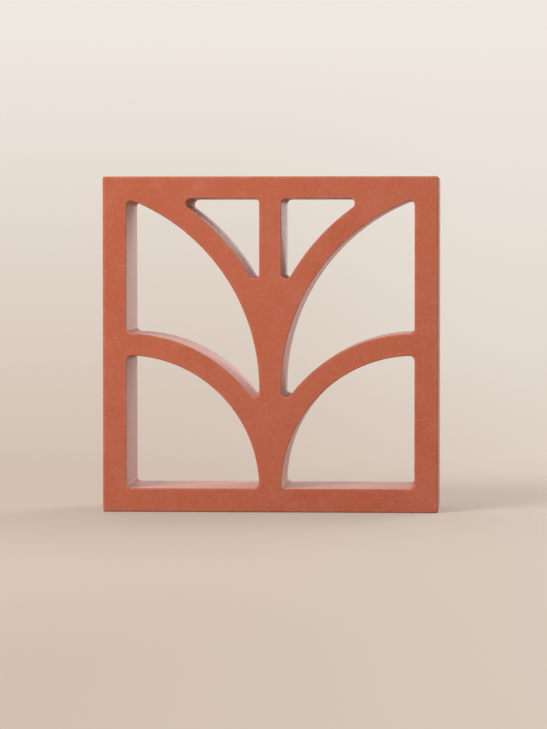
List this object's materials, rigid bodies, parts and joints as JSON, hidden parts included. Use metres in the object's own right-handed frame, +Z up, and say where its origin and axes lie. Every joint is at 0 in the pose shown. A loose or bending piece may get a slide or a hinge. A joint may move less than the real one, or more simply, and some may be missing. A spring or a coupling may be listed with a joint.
{
  "type": "breeze block",
  "caption": "Square openwork screen block: a solid cast frame around a central stem with arched lower ribs and outward-curving upper fronds, open from front to back.",
  "frame": {"origin": "centre of the bottom face, on the plane that the block stands on", "axes": "+Z up the block, from the bottom of the stem to the top of the fronds; the front face looks along -Y; +X is to the right as seen from the front"},
  "size_m": [0.19, 0.065, 0.19],
  "materials": {
    "clay": "matt, unglazed, fine-grained"
  },
  "bodies": {
    "root": {"breeze_block": "clay"}
  },
  "joints": []
}
